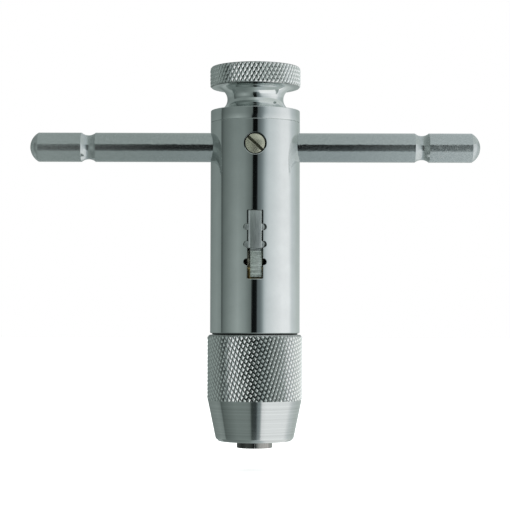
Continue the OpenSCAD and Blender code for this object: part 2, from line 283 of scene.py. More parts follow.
def rgba(colour):
    return (*colour, 1.0)


def math_node(tree, how, *values):
    """A math node over numbers and the outputs of other nodes."""
    made = add(tree, "ShaderNodeMath", operation=how)
    for i, value in enumerate(values):
        if isinstance(value, (int, float)):
            made.inputs[i].default_value = value
        else:
            tree.links.new(value, made.inputs[i])
    return made.outputs[0]


class Metal:
    """Builds a metal: colour and roughness that vary over the surface, and relief from layers."""

    def __init__(self, name, colour, roughness, **sockets):
        self.material = bpy.data.materials.new(name)
        self.material.use_nodes = True
        self.tree = self.material.node_tree
        self.shader = self.tree.nodes["Principled BSDF"]
        self.shader.inputs["Metallic"].default_value = 1.0
        self.shader.inputs["Base Color"].default_value = rgba(colour)
        self.shader.inputs["Roughness"].default_value = roughness
        for key, value in sockets.items():
            self.shader.inputs[key.replace("_", " ")].default_value = value
        self.place = add(self.tree, "ShaderNodeTexCoord").outputs["Object"]
        self.relief = None

    def join(self, source, target):
        self.tree.links.new(source, target)

    def stretched(self, scale):
        """The piece's own coordinates, stretched by scale along X, Y and Z."""
        mapping = add(self.tree, "ShaderNodeMapping", Scale=scale)
        self.join(self.place, mapping.inputs["Vector"])
        return mapping.outputs["Vector"]

    def grain(self, scale, detail=3.0):
        """Noise between 0 and 1. scale is a number, or three for a grain that runs one way, per metre."""
        if isinstance(scale, (int, float)):
            scale = (scale,) * 3
        made = add(self.tree, "ShaderNodeTexNoise", Scale=1.0, Detail=detail, Roughness=0.55)
        self.join(self.stretched(scale), made.inputs["Vector"])
        return made.outputs["Fac"]

    def axis(self, name):
        """One of the piece's own coordinates, in metres."""
        parts = add(self.tree, "ShaderNodeSeparateXYZ")
        self.join(self.place, parts.inputs[0])
        return parts.outputs[name]

    def axis_distance(self):
        """Distance from the tool axis, in metres."""
        flat = self.stretched((1.0, 1.0, 0.0))
        made = add(self.tree, "ShaderNodeVectorMath", operation="LENGTH")
        self.join(flat, made.inputs[0])
        return made.outputs["Value"]

    def turned_lines(self, per_metre):
        """Noise that runs round the tool axis, as a lathe leaves it."""
        along = self.math("MULTIPLY", self.math("ADD", self.axis("Z"), self.axis_distance()), per_metre)
        lines = add(self.tree, "ShaderNodeTexNoise", noise_dimensions="1D", Scale=1.0, Detail=4.0,
                    Roughness=0.7)
        self.join(along, lines.inputs["W"])
        return lines.outputs["Fac"]

    def math(self, how, *values):
        return math_node(self.tree, how, *values)

    def between(self, source, low, high, start=0.3, end=0.7):
        """Maps noise from start..end to low..high."""
        made = add(self.tree, "ShaderNodeMapRange", From_Min=start, From_Max=end, To_Min=low, To_Max=high)
        self.join(source, made.inputs["Value"])
        return made.outputs["Result"]

    def vary_roughness(self, source, low, high):
        self.join(self.between(source, low, high), self.shader.inputs["Roughness"])

    def vary_colour(self, source, darker, lighter, start=0.3, end=0.7):
        """Mixes between two colours by the noise."""
        mix = add(self.tree, "ShaderNodeMix", data_type="RGBA")
        self.join(self.between(source, 0.0, 1.0, start, end), mix.inputs["Factor"])
        mix.inputs[6].default_value = rgba(darker)
        mix.inputs[7].default_value = rgba(lighter)
        self.join(mix.outputs[2], self.shader.inputs["Base Color"])

    def bump(self, source, height_mm):
        """Adds a layer of relief of the given height."""
        made = add(self.tree, "ShaderNodeBump", Strength=1.0, Distance=height_mm * MM)
        self.join(source, made.inputs["Height"])
        if self.relief:
            self.join(self.relief, made.inputs["Normal"])
        self.relief = made.outputs["Normal"]
        self.join(self.relief, self.shader.inputs["Normal"])


def scaled(colour, factor):
    return tuple(c * factor for c in colour)


CHROME = (0.70, 0.735, 0.725)
NICKEL = (0.60, 0.63, 0.615)
KNURLED = (0.83, 0.865, 0.845)
BAR = (0.50, 0.54, 0.535)


def make_chrome():
    m = Metal("polished_chrome", CHROME, 0.05)
    m.vary_colour(m.grain(260), scaled(CHROME, 0.96), scaled(CHROME, 1.03))
    m.vary_roughness(m.grain((2500, 2500, 300)), 0.035, 0.085)
    m.bump(m.grain((1500, 1500, 120)), 0.0006)
    m.bump(m.grain((9000, 9000, 500), detail=5.0), 0.00012)
    return m.material


def make_soft_chrome():
    """Chrome over faint lathe lines."""
    m = Metal("soft_chrome", CHROME, 0.08)
    m.vary_colour(m.grain(260), scaled(CHROME, 0.95), scaled(CHROME, 1.02))
    m.vary_roughness(m.grain((2500, 2500, 300)), 0.05, 0.1)
    m.bump(m.turned_lines(2600), 0.0007)
    m.bump(m.grain(2500), 0.0008)
    return m.material


def make_turned(name, colour, low, high, line_mm):
    """Plated metal straight from the lathe, with lines round the axis."""
    m = Metal(name, colour, (low + high) / 2)
    m.vary_colour(m.turned_lines(1400), scaled(colour, 0.88), scaled(colour, 1.06))
    m.vary_roughness(m.turned_lines(3300), low, high)
    m.bump(m.turned_lines(5200), line_mm)
    m.bump(m.grain(3500), 0.002)
    return m.material


def make_knurled(name, radius, depth):
    """Plated knurling, its colour darkened towards the bottoms of its grooves as painted shade. radius is
    that of its tops, in mm.
    """
    m = Metal(name, KNURLED, 0.14)
    height = m.math("ADD", m.axis_distance(), m.math("MULTIPLY", m.grain(1800), 0.00012))
    bottom, shoulder = (radius - 0.82 * depth) * MM, (radius - 0.24 * depth) * MM
    # painted shade: the colour falls to 0.3 of the plating towards the groove bottoms, where the grooves
    # lie in shade
    m.vary_colour(height, scaled(KNURLED, 0.3), KNURLED, start=bottom, end=shoulder)
    m.vary_roughness(m.grain(2600), 0.09, 0.2)
    m.bump(m.grain(7000), 0.003)
    return m.material


def make_bar():
    """Bright drawn steel, duller towards its ends and scuffed at the right one."""
    m = Metal("satin_bar", BAR, 0.1)
    reach = m.math("ABSOLUTE", m.axis("X"))
    m.join(m.between(reach, 0.975, 0.88, start=0.02, end=0.046), m.shader.inputs["Metallic"])
    m.vary_colour(m.grain((1500, 4000, 4000), detail=5.0), scaled(BAR, 0.92), scaled(BAR, 1.06))
    scuffs = m.between(m.grain((700, 1300, 1300), detail=4.0), 0.0, 0.3, start=0.56, end=0.68)
    scuffs = m.math("MULTIPLY", scuffs, m.between(m.axis("X"), 0.1, 1.0, start=0.034, end=0.04))
    polish = m.between(m.grain(2200), 0.06, 0.13)
    m.join(m.math("ADD", polish, scuffs), m.shader.inputs["Roughness"])
    m.bump(m.grain((3600, 4200, 4200), detail=4.0), 0.005)
    m.bump(m.grain((1900, 3000, 3000), detail=3.0), 0.02)
    return m.material


def make_ground(name, colour, low, high):
    """Steel ground along Z."""
    m = Metal(name, colour, (low + high) / 2)
    m.vary_colour(m.grain((7000, 7000, 500)), scaled(colour, 0.82), scaled(colour, 1.12))
    m.vary_roughness(m.grain((4000, 4000, 400)), low, high)
    m.bump(m.grain((9000, 9000, 600), detail=5.0), 0.004)
    return m.material


def make_plain(name, colour, low, high, metallic=1.0):
    """Machined metal with a fine even grain."""
    spots = 1800
    m = Metal(name, colour, (low + high) / 2, Metallic=metallic)
    m.vary_colour(m.grain(spots), scaled(colour, 0.82), scaled(colour, 1.1))
    m.vary_roughness(m.grain(spots * 1.7), low, high)
    m.bump(m.grain(spots * 4), 0.003)
    return m.material


chrome = make_chrome()
soft_chrome = make_soft_chrome()
nickel = make_turned("turned_nickel", NICKEL, 0.06, 0.12, 0.0023)
knurled_head = make_knurled("knurled_head", HEAD_R, HEAD_KNURL_DEPTH)
knurled_nut = make_knurled("knurled_nut", NUT_R, NUT_KNURL_DEPTH)
bar_metal = make_bar()
slider_metal = make_ground("ground_steel", (0.62, 0.665, 0.65), 0.34, 0.46)
rib_metal = make_plain("rib_steel", (0.56, 0.625, 0.585), 0.32, 0.44, metallic=0.8)
brass_edge = make_plain("worn_brass_edge", (0.47, 0.48, 0.38), 0.22, 0.4)
screw_metal = make_plain("worn_nickel_brass", (0.54, 0.54, 0.425), 0.16, 0.3, metallic=0.85)
# the floor of the screw's slot is coloured near black, as painted shade in the recess
slot_painted_shade = make_plain("screw_slot_painted_shade", (0.13, 0.13, 0.09), 0.4, 0.6)
dark_steel = make_plain("hardened_steel", (0.20, 0.20, 0.195), 0.22, 0.36)
# The two jaws get copies of one dark ground steel: the left one's is darker, as painted shade, the right
# one's lighter, as painted light from the bright right side.
jaw_painted_shade = make_ground("jaw_painted_shade", (0.12, 0.12, 0.113), 0.16, 0.3)
jaw_painted_light = make_ground("jaw_painted_light", (0.37, 0.365, 0.34), 0.16, 0.3)
bright_steel = make_turned("bright_steel", (0.55, 0.55, 0.54), 0.16, 0.3, 0.004)
brass_bush = make_turned("bush_brass", (0.62, 0.47, 0.22), 0.2, 0.34, 0.004)
black_washer = make_plain("black_washer", (0.05, 0.05, 0.05), 0.35, 0.55)
spring_steel = make_plain("spring_steel", (0.36, 0.37, 0.39), 0.2, 0.34)


# ---------------------------------------------------------------- knurling and threads
class Knurl:
    """A knurled band from height top down to height low.

    right and left are the numbers of grooves that lean to the right and to the left, and rise_right
    and rise_left how many of them an upright line crosses in a millimetre. share_left is how deep
    the grooves to the left are next to the others, which are depth deep. limit(z) is the most that
    the radius may be. The grid of points follows the grooves, so every row and column is a helix.
    """

    def __init__(self, radius, top, low, right, left, rise_right, rise_left, share_left, depth, limit,
                 seed):
        self.radius, self.top, self.height = radius, top, top - low
        self.right, self.left, self.share_left = right, left, share_left
        self.depth, self.limit, self.seed = depth, limit, seed
        self.halves = right + left
        self.columns = self.halves * KNURL_STEPS
        rise = rise_right + rise_left
        drift = (rise_left - rise_right) / self.halves * self.height * self.columns
        self.drift = round(drift)
        lean = self.drift / self.columns / self.height * self.halves
        self.rise_right, self.rise_left = (rise - lean) / 2, (rise + lean) / 2
        self.area = right * self.rise_left + left * self.rise_right
        self.jump = (left - right) * KNURL_STEPS
        self.rows = math.ceil(self.height * 2 * self.area / self.halves) * KNURL_STEPS + abs(self.jump)

    def ring(self, j):
        def point(k):
            across, down = k / KNURL_STEPS, j / KNURL_STEPS
            drop = ((self.left - self.right) * across + self.halves * down) / 2 / self.area
            drop = min(max(drop, 0), self.height)
            turn = self.drift * drop / self.height
            around = (k + turn) / self.columns
            a = self.right * around + self.rise_right * drop
            b = self.left * around - self.rise_left * drop
            right = min(2 * abs(a - round(a)) / KNURL_FLAT, 1.0)
            left = min(2 * abs(b - round(b)) / KNURL_FLAT, 1.0)
            peak = min(right, 1 - (1 - left) * self.share_left)
            spot = Vector((9 * math.cos(TAU * around), 9 * math.sin(TAU * around), drop + self.seed))
            wear = 0.12 * noise.noise(spot)
            r = self.radius - self.depth * (1.03 - peak * (1 + wear))
            z = self.top - drop
            return min(r, self.limit(z)), z, turn

        return point

    def rings(self):
        return [self.ring(j) for j in range(self.rows + 1)]

    def diagonal(self, first):
        """The rule for cutting the band's quads, where first is the number of its first ring."""
        def rule(j, k):
            if first <= j < first + self.rows:
                return (k // KNURL_STEPS + (j - first) // KNURL_STEPS) % 2 == 0
            return None

        return rule

    def turned(self, ring):
        """A plain ring below the band, turned as far as the band has drifted."""
        return (*ring, self.drift)


def thread_rings(radius, low, high, columns, inside=False):
    """Rings along the helix of a thread between two heights. radius is that of a bolt's crests."""
    first = math.floor((low - THREAD_LOW) / THREAD_PITCH) - 1
    last = math.ceil((high - THREAD_LOW) / THREAD_PITCH)
    lead = 0.4

    def ring(turn, share, deep):
        def point(k):
            z = THREAD_LOW + (turn + share + k / columns) * THREAD_PITCH
            z = min(max(z, low), high)
            fade = min(1.0, (z - low) / lead, (high - z) / lead)
            return radius - THREAD_DEPTH * (min(deep, fade) if inside else max(deep, 1 - fade)), z

        return point

    return [ring(t, share, deep) for t in range(first, last + 1) for share, deep in THREAD_FORM]


# ---------------------------------------------------------------- housing
def body_sleeve():
    """The polished sleeve, with its keyway, window, bar hole and screw hole."""
    rings = rounded([
        (BORE_R, BODY_LOW, 0.1), (BODY_R - 0.15, BODY_LOW, 0.06), (BODY_R, BODY_LOW + 0.15, 0.06),
        (BODY_R, BODY_TOP, 0.1), (BORE_R, BODY_TOP, 0.1)])
    piece = skin("sleeve", rings, 240, closed=0)
    keyway_half, keyway_floor, keyway_top = 2.7, -9.1, 56.6
    cuts = [block((-keyway_half, keyway_floor, BODY_LOW - 1), (keyway_half, -5, keyway_top))]
    inset = WINDOW_HALF - WINDOW_CORNER
    low, top = WINDOW_LOW + WINDOW_CORNER, WINDOW_TOP - WINDOW_CORNER
    cuts.append(block((-inset, WINDOW_OUT, WINDOW_LOW), (inset, WINDOW_IN, WINDOW_TOP)))
    cuts.append(block((-WINDOW_HALF, WINDOW_OUT, low), (WINDOW_HALF, WINDOW_IN, top)))
    for side in (-1, 1):
        for z in NOTCHES:
            cuts.append(plug(NOTCH_R, WINDOW_OUT, WINDOW_IN, along_y(side * WINDOW_HALF, 0, z)))
        for z in (low, top):
            cuts.append(plug(WINDOW_CORNER, WINDOW_OUT, WINDOW_IN, along_y(side * inset, 0, z), 48))
    cuts.append(plug(BAR_R + FIT, -BEYOND, BEYOND, along_x(0, 0, BAR_Z), 128))
    recess_floor = -9.55
    cuts.append(plug(SCREW_HOLE_R, -BEYOND, -5, along_y(0, 0, BAR_Z), 96))
    cuts.append(plug(SCREW_RECESS_R, -BEYOND, recess_floor, along_y(0, 0, BAR_Z), 96))
    carve(piece, cuts)
    above_rim = 30 * MM
    break_edges(piece, 0.13, lambda mid, a, b: a.z > above_rim and on_outside(a, b))
    true_normals(piece, BODY_R)
    put(piece, "body_sleeve", chrome, brass_edge)
    for face in piece.data.polygons:
        c = face.center / MM
        by_window = abs(c.x) < 3 and c.y < 0 and WINDOW_LOW - 1 < c.z < WINDOW_TOP + 1.1
        if by_window and Vector((c.x, c.y)).length < BODY_R - 0.05:
            face.material_index = 1


def on_outside(*ends):
    """True where both ends of an edge lie on the sleeve's outer surface."""
    return min(Vector((p.x, p.y)).length for p in ends) > (BODY_R - 0.01) * MM


def break_edges(piece, width_mm, wanted):
    """Bevels the sharp edges that wanted(middle, one end, other end) picks."""
    bm = bmesh.new()
    bm.from_mesh(piece.data)
    bmesh.ops.dissolve_limit(bm, angle_limit=math.radians(0.2), verts=bm.verts, edges=bm.edges)
    sharp = math.radians(35)
    edges = []
    for e in bm.edges:
        a, b = (v.co for v in e.verts)
        if len(e.link_faces) == 2 and e.calc_face_angle(0) > sharp and wanted((a + b) / 2, a, b):
            edges.append(e)
    bmesh.ops.bevel(bm, geom=edges, offset=width_mm * MM, offset_type="OFFSET", segments=2,
                    profile=0.6, affect="EDGES", clamp_overlap=False)
    bm.to_mesh(piece.data)
    bm.free()
    clean(piece.data)


def true_normals(piece, radius, axis=Vector((0, 0, 1)), through=Vector()):
    """Gives the faces on a turned surface of this radius their exact normals, for clean reflections."""
    mesh = piece.data
    normals = [(0.0, 0.0, 0.0)] * len(mesh.loops)
    for face in mesh.polygons:
        spots = [mesh.vertices[v].co / MM - through for v in face.vertices]
        arms = [s - axis * s.dot(axis) for s in spots]
        if all(abs(arm.length - radius) < 0.004 for arm in arms) and abs(face.normal.dot(axis)) < 0.02:
            for loop, arm in zip(face.loop_indices, arms):
                normals[loop] = arm.normalized()
    mesh.normals_split_custom_set(normals)


def head_knob():
    """Knurled head, waisted neck and flange in one turned piece, on the spigot inside the sleeve."""
    flange, low, waist, neck = 74.5, 79.7, 6.23, 8.7
    seam, chamfer = BODY_TOP + 0.06, 0.35
    knurl = Knurl(
        HEAD_R, HEAD_TOP - 0.06, low + 0.06, right=64, left=64, rise_right=0.58, rise_left=0.58,
        share_left=0.6, depth=HEAD_KNURL_DEPTH, seed=3.0,
        limit=lambda z: HEAD_R - chamfer + min(z - low, HEAD_TOP - z, chamfer))
    arc_r = ((low - flange) ** 2 / 4 + (neck - waist) ** 2) / (2 * (neck - waist))
    hourglass = []
    half_turn, steps = math.asin((low - flange) / 2 / arc_r), 16
    for i in range(1, 2 * steps):
        a = half_turn * (1 - i / steps)
        hourglass.append((waist + arc_r * (1 - math.cos(a)), (flange + low) / 2 + arc_r * math.sin(a), 0))
    top = rounded([
        (0, HEAD_TOP, 0), (1, HEAD_TOP, 0), (HEAD_R - 0.4, HEAD_TOP, 0.05),
        (HEAD_R - 0.3, HEAD_TOP - 0.04, 0)])
    under = rounded([
        (HEAD_R - 0.01, low + 0.34, 0), (HEAD_R - 0.35, low, 0.05), (neck, low, 0.08), *hourglass,
        (neck, flange, 0.08), (BODY_R, flange, 0.16), (BODY_R, seam, 0.05), (BODY_R - 0.25, seam, 0),
        (BODY_R - 0.25, BODY_TOP, 0), (BORE_R - FIT, BODY_TOP, 0.02),
        (BORE_R - FIT, SPIGOT_LOW, 0.2), (0, SPIGOT_LOW, 0)])[1:]
    rings = top + knurl.rings() + [knurl.turned(r) for r in under]
    piece = skin("head", rings, knurl.columns, diagonal=knurl.diagonal(len(top)))
    carve(piece, [
        plug(BAR_R + FIT, -BEYOND, BEYOND, along_x(0, 0, BAR_Z), 96),
        plug(BALL_HOLE_R, -BEYOND, -2, along_y(0, 0, BAR_Z), 48),
        plug(SCREW_HOLE_R, -BEYOND, -7, along_y(0, 0, BAR_Z), 64)])
    put(piece, "head_knob", soft_chrome, knurled_head)
    mark_knurl(piece, HEAD_R - HEAD_KNURL_DEPTH, low, HEAD_TOP)


def mark_knurl(piece, radius, low, high):
    """Gives the faces of a knurled band the knurl material. radius is that of the grooves' bottoms."""
    for face in piece.data.polygons:
        c = face.center / MM
        if low < c.z < high and Vector((c.x, c.y)).length > radius - 0.06:
            face.material_index = 1


def detent_screw():
    """Slotted screw with a domed head."""
    lo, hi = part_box("detent_screw")
    face, inner = -lo.y / MM, -hi.y / MM
    dome, r = 7.0, 2.15
    rings = [(r * i / 12, face - dome + math.sqrt(dome ** 2 - (r * i / 12) ** 2)) for i in range(12)]
    rim = face - dome + math.sqrt(dome ** 2 - r ** 2)
    profile = [(a, b, 0) for a, b in rings] + [(r, rim, 0.09), (r, inner, 0.15), (0, inner, 0)]
    outwards = Matrix.Translation((0, 0, BAR_Z)) @ Matrix.Rotation(math.radians(90), 4, "X")
    piece = skin("detent_screw_head", rounded(profile), 128, place=outwards)
    slot_half, slot_depth, slot_turn = 0.31, 0.6, math.radians(43)
    slot = block((-5, -face - 1, -slot_half), (5, -face + slot_depth, slot_half))
    slot.data.transform(Matrix.Translation((0, 0, BAR_Z * MM)) @ Matrix.Rotation(slot_turn, 4, "Y"))
    carve(piece, [slot])
    break_edges(piece, 0.05, lambda mid, a, b: mid.y < (-face + 0.4) * MM)
    put(piece, "detent_screw", screw_metal, slot_painted_shade)
    # the faces of the slot's floor take the near black painted shade
    for f in piece.data.polygons:
        if abs(f.normal.y + 1) < 0.02 and f.center.y > (-face + 0.5) * MM:
            f.material_index = 1


def cross_bar():
    """The T bar: domed ends and a rounded detent groove near each end."""
    groove_x, groove_r, groove_d = 37.0, 2.4, 0.58
    tip_r = 3.7
    half = []
    start = math.acos(1 - groove_d / groove_r)
    for i in range(13):
        a = -start + 2 * start * i / 12
        half.append((BAR_R - groove_d + groove_r * (1 - math.cos(a)), groove_x + groove_r * math.sin(a),
                     0.12 if i in (0, 12) else 0))
    centre = BAR_END - tip_r
    first = math.asin(BAR_R / tip_r)
    for i in range(25):
        a = first * (1 - i / 24)
        half.append((tip_r * math.sin(a), centre + tip_r * math.cos(a), 0))
    right = rounded([(BAR_R, 0, 0), *half])[1:]
    left = [(r, -x) for r, x in reversed(right)]
    piece = skin("bar", left + right, 128, place=along_x(0, 0, BAR_Z), sharp_deg=20)
    true_normals(piece, BAR_R, Vector((1, 0, 0)), Vector((0, 0, BAR_Z)))
    put(piece, "cross_bar", bar_metal)


# ---------------------------------------------------------------- selector
def between_loops(name, points):
    """A solid between two loops of points, the second loop after the first."""
    n = len(points) // 2
    faces = [tuple(range(n)), tuple(range(n, 2 * n))]
    faces += [(i, (i + 1) % n, n + (i + 1) % n, n + i) for i in range(n)]
    mesh = bpy.data.meshes.new(name)
    mesh.from_pydata([Vector(p) * MM for p in points], [], faces)
    clean(mesh)
    return link(name, mesh)


def prism(outline, low, high):
    """A solid with an outline in X and Y, between two heights, all in mm."""
    return between_loops("cutter", [(x, y, z) for z in (low, high) for x, y in outline])


def slab(half, front, back, low, high, shift=0.0):
    """A prism with a rectangle for its outline. shift moves it to the right."""
    left, right = shift - half, shift + half
    return prism([(left, front), (right, front), (right, back), (left, back)], low, high)


def selector_slider():
    """The thumb slider: button with a rolled left edge, lugs, ribbed tongue, plate and pawl guide."""
    front, back, low, top = -8.6, -7.7, 43.7, 51.8
    plate_top, tongue_low, guide_back = 56.2, 37.4, -6.85
    piece = slab(2.55, front, back, low, plate_top)
    piece.name = "slider"
    face = -9.7
    across = (-0.9, -0.6, -0.3, 0.0, 0.3, 0.6, 0.9, 1.15)
    crown = [(x, face - 0.07 * (1 - (x / 1.25) ** 2)) for x in across]
    parts = [prism([
        (-1.51, front + 0.1), (-1.51, face + 0.04), (-1.46, face - 0.06), (-1.38, face - 0.09),
        (-1.1, face), *crown, (1.38, face + 0.01), (1.43, face + 0.06), (1.43, front + 0.1)], low, top)]
    parts += [lug(z, front) for z in NOTCHES[:2]]
    parts.append(slab(1.25, front, back, tongue_low, low + 0.01, shift=TONGUE_X))
    parts.append(slab(1.9, back - 0.01, guide_back, PAWL_Z - 3.35, PAWL_Z + 3.35))
    carve(piece, parts, "UNION")
    pocket_half, pocket_floor, pocket_rise = 1.0, -9.06, 2.85
    cuts = [block((-pocket_half, pocket_floor, PAWL_Z - pocket_rise),
                  (pocket_half, -6, PAWL_Z + pocket_rise))]
    first_rib, rib_pitch, worn, sharp = 38.3, 0.9, 0.05, 0.14
    for i in range(6):
        cuts.append(rib_groove(first_rib + rib_pitch * i, front, worn if i < 3 else sharp))
    carve(piece, cuts)
    break_edges(piece, 0.06, lambda mid, a, b: mid.y < -8.3 * MM)
    put(piece, "selector_slider", slider_metal, rib_metal)
    for f in piece.data.polygons:
        if f.center.z < (low - 0.2) * MM:
            f.material_index = 1


def lug(z, front):
    """A pair of rounded lugs on the button's sides, in one bar across it."""
    reach, rise, corner, shift, face = 2.2, 0.7, 0.55, 0.18, -9.66
    outline = rounded([
        (-1.5, -rise, 0), (reach, -rise, corner), (reach, rise, corner), (-1.5, rise, 0)], 6)[1:-1]
    points = [(-x - shift, -h) for x, h in outline] + [(x - shift, h) for x, h in outline]
    return between_loops("lug", [(x, y, z + h) for y in (front + 0.1, face) for x, h in points])


def rib_groove(z, front, depth):
    """A rounded groove across the tongue."""
    r = 0.3
    return plug(r, -3, 3, along_x(TONGUE_X, front - r + depth, z), 32)


# ---------------------------------------------------------------- springs
def spring(node, mean_r, wire, length, turns, place):
    """A coil spring with closed ends, from Z = 0 up to its length before place moves it."""
    sides, per_turn = 12, 32
    steps = round(turns * per_turn)
    rise, closing = length - wire, 0.35 / turns
    verts, faces = [], []
    for i in range(steps + 1):
        share = i / steps
        eased = share - closing * math.sin(TAU * share)
        centre_z = wire / 2 + rise * eased
        turn = TAU * i / per_turn
        for k in range(sides):
            around = TAU * k / sides
            r = mean_r + wire / 2 * math.cos(around)
            z = centre_z + wire / 2 * math.sin(around)
            verts.append(place @ Vector((r * math.cos(turn), r * math.sin(turn), z)) * MM)
    for i in range(steps):
        for k in range(sides):
            n = (k + 1) % sides
            faces.append((i * sides + k, i * sides + n, (i + 1) * sides + n, (i + 1) * sides + k))
    faces += [tuple(range(sides)), tuple(steps * sides + k for k in range(sides))]
    mesh = bpy.data.meshes.new(node)
    mesh.from_pydata(verts, [], faces)
    clean(mesh, 50)
    piece = link(node + "_wire", mesh)
    put(piece, node, spring_steel)
    return piece


# ---------------------------------------------------------------- copies of CAD shapes, with broken edges
def broken_copy(node, width_mm, material):
    """A copy of a CAD node whose sharp edges are broken."""
    piece = link(node + "_piece", NODES[node].data.copy())
    bm = bmesh.new()
    bm.from_mesh(piece.data)
    bmesh.ops.remove_doubles(bm, verts=bm.verts, dist=2e-6)
    bmesh.ops.dissolve_limit(bm, angle_limit=math.radians(0.5), verts=bm.verts, edges=bm.edges)
    bm.to_mesh(piece.data)
    bm.free()
    bevel = piece.modifiers.new("break", "BEVEL")
    bevel.width = width_mm * MM
    bevel.segments = 2
    bevel.limit_method = "ANGLE"
    bevel.angle_limit = math.radians(35)
    finished_mesh(piece)
    clean(piece.data)
    put(piece, node, material)


# ---------------------------------------------------------------- spindle and chuck
def spindle():
    """Threaded end, journal and shaft in one turned piece, with the jaws' slot and a key seat."""
    columns = 192
    thread = thread_rings(THREAD_R, THREAD_LOW, NUT_TOP, columns)
    ring_low, ring_high = low_mm("retaining_ring").z - 0.02, high_mm("retaining_ring").z + 0.02
    journal = high_mm("spindle_bush").z + FIT
    journal_r, shaft_r, groove_r = 5.0, 4.0, 3.6
    bottom = [(0, THREAD_LOW), (THREAD_R - THREAD_DEPTH - 0.1, THREAD_LOW)]
    top = rounded([
        (THREAD_R - THREAD_DEPTH, NUT_TOP, 0), (journal_r, NUT_TOP, 0.1), (journal_r, journal, 0.15),
        (shaft_r, journal, 0.05), (shaft_r, ring_low, 0.02), (groove_r, ring_low, 0.02),
        (groove_r, ring_high, 0.02), (shaft_r, ring_high, 0.02), (shaft_r, SHAFT_TOP, 0.3),
        (0.5, SHAFT_TOP, 0), (0, SHAFT_TOP, 0)])
    rings = bottom + thread + top
    helix = (len(bottom), len(bottom) + len(thread) - 1, len(THREAD_FORM))
    piece = skin("spindle_shaft", rings, columns, helices=[helix])
    slot_half, slot_top, key_half, key_seat = 3.05, 18.2, 0.75, 3.2
    carve(piece, [
        block((-BEYOND, -slot_half, THREAD_LOW - 1), (BEYOND, slot_half, slot_top)),
        block((-key_half, key_seat, low_mm("wheel_key").z - 0.02), (key_half, 6, SHAFT_TOP + 1))])
    put(piece, "spindle", bright_steel)


def chuck_nut():
    """The knurled nut: threaded inside, cone and rounded nose below."""
    bore, seat, step, relief, knurl_low = 7.0, 8.15, 3.6, 10.7, 10.5
    cone_r = 10.36
    knurl = Knurl(
        NUT_R, NUT_TOP - 0.04, knurl_low, right=70, left=54, rise_right=0.381, rise_left=0.79,
        share_left=1.0, depth=NUT_KNURL_DEPTH, seed=7.0,
        limit=lambda z: min(NUT_R, NUT_R - 0.5 + NUT_TOP - z, cone_r + (z - knurl_low) * 2))
    inner = [(bore, NUT_LOW + 0.05), (bore, step), (seat, step), (seat, relief), (THREAD_R + FIT, relief)]
    thread = thread_rings(THREAD_R + 0.08, relief, NUT_TOP, knurl.columns, inside=True)
    over = [(THREAD_R + 0.12, NUT_TOP), (NUT_R - 0.55, NUT_TOP)]
    nose = rounded([
        (cone_r, knurl_low - 0.01, 0), (10.35, knurl_low - 0.06, 0), (8.62, NUT_LOW + 0.65, 0.25),
        (7.95, NUT_LOW, 0.3), (bore + 0.05, NUT_LOW, 0)])
    rings = inner + thread + over
    first = len(rings)
    helices = [
        (len(inner), len(inner) + len(thread) - 1, len(THREAD_FORM)),
        (first, first + knurl.rows, knurl.jump)]
    rings += knurl.rings() + [knurl.turned(r) for r in nose]
    piece = skin("nut", rings, knurl.columns, closed=knurl.drift, helices=helices,
                 diagonal=knurl.diagonal(first))
    put(piece, "chuck_nut", nickel, knurled_nut)
    mark_knurl(piece, NUT_R - NUT_KNURL_DEPTH, knurl_low, NUT_TOP)


def cone_radius(z):
    """Radius of the cone that closes the jaws, at a height at rest."""
    return CONE_MOUTH_R + (z - CONE_MOUTH_Z) * CONE_SLOPE


def cone_ring():
    """Hardened ring inside the nut, whose cone closes the jaws."""
    low, top = low_mm("cone_ring").z, high_mm("cone_ring").z
    lower_r, upper_r, step = 6.98, 8.1, 3.6
    rings = rounded([
        (cone_radius(low), low, 0.1), (lower_r, low, 0.1), (lower_r, step, 0.05), (upper_r, step, 0.1),
        (upper_r, top, 0.1), (cone_radius(top), top, 0.1)])
    rings.append(rings[0])
    put(skin("cone", rings, 128), "cone_ring", dark_steel)


def jaw(side):
    """One jaw: half round below, a slab above, with the vee that grips the tap."""
    node = "jaw_right" if side > 0 else "jaw_left"
    r, gap, step, tip, top = 5.4, 0.04, 1.7, 3.93, high_mm(node).z
    cone_top = CONE_MOUTH_Z + (r + gap - CONE_MOUTH_R) / CONE_SLOPE
    rings = rounded([
        (0, 0, 0), (tip, 0, 0.12), (tip, step, 0.05), (cone_radius(step) - gap, step, 0.1),
        (r, cone_top, 0.3), (r, top, 0.2), (0, top, 0)])
    piece = skin(node + "_piece", rings, 128)
    split, far = 0.004 * side, -BEYOND * side
    slab_half, slab_low, above = 3.0, 10.2, 30
    cuts = [
        block((min(split, far), -BEYOND, -1), (max(split, far), BEYOND, above)),
        block((-BEYOND, -BEYOND, slab_low), (BEYOND, -slab_half, above)),
        block((-BEYOND, slab_half, slab_low), (BEYOND, BEYOND, above))]
    vee_half, vee_top = 1.65 / math.sqrt(2), 12
    vee = block((-vee_half, -vee_half, -1), (vee_half, vee_half, vee_top))
    vee.data.transform(Matrix.Rotation(math.radians(45), 4, "Z"))
    spring_hole_r, spring_hole_end = 1.45, 2.3
    cuts += [vee, plug(spring_hole_r, -spring_hole_end, spring_hole_end, along_x(0, 0, JAW_SPRING_Z))]
    carve(piece, cuts)
    step_low, step_high = 0.5 * MM, 3 * MM
    break_edges(piece, 0.08, lambda mid, a, b: mid.z < step_low or mid.z > step_high)
    # the right jaw takes the lighter copy (painted light) and the left the darker copy (painted shade)
    put(piece, node, jaw_painted_light if side > 0 else jaw_painted_shade)


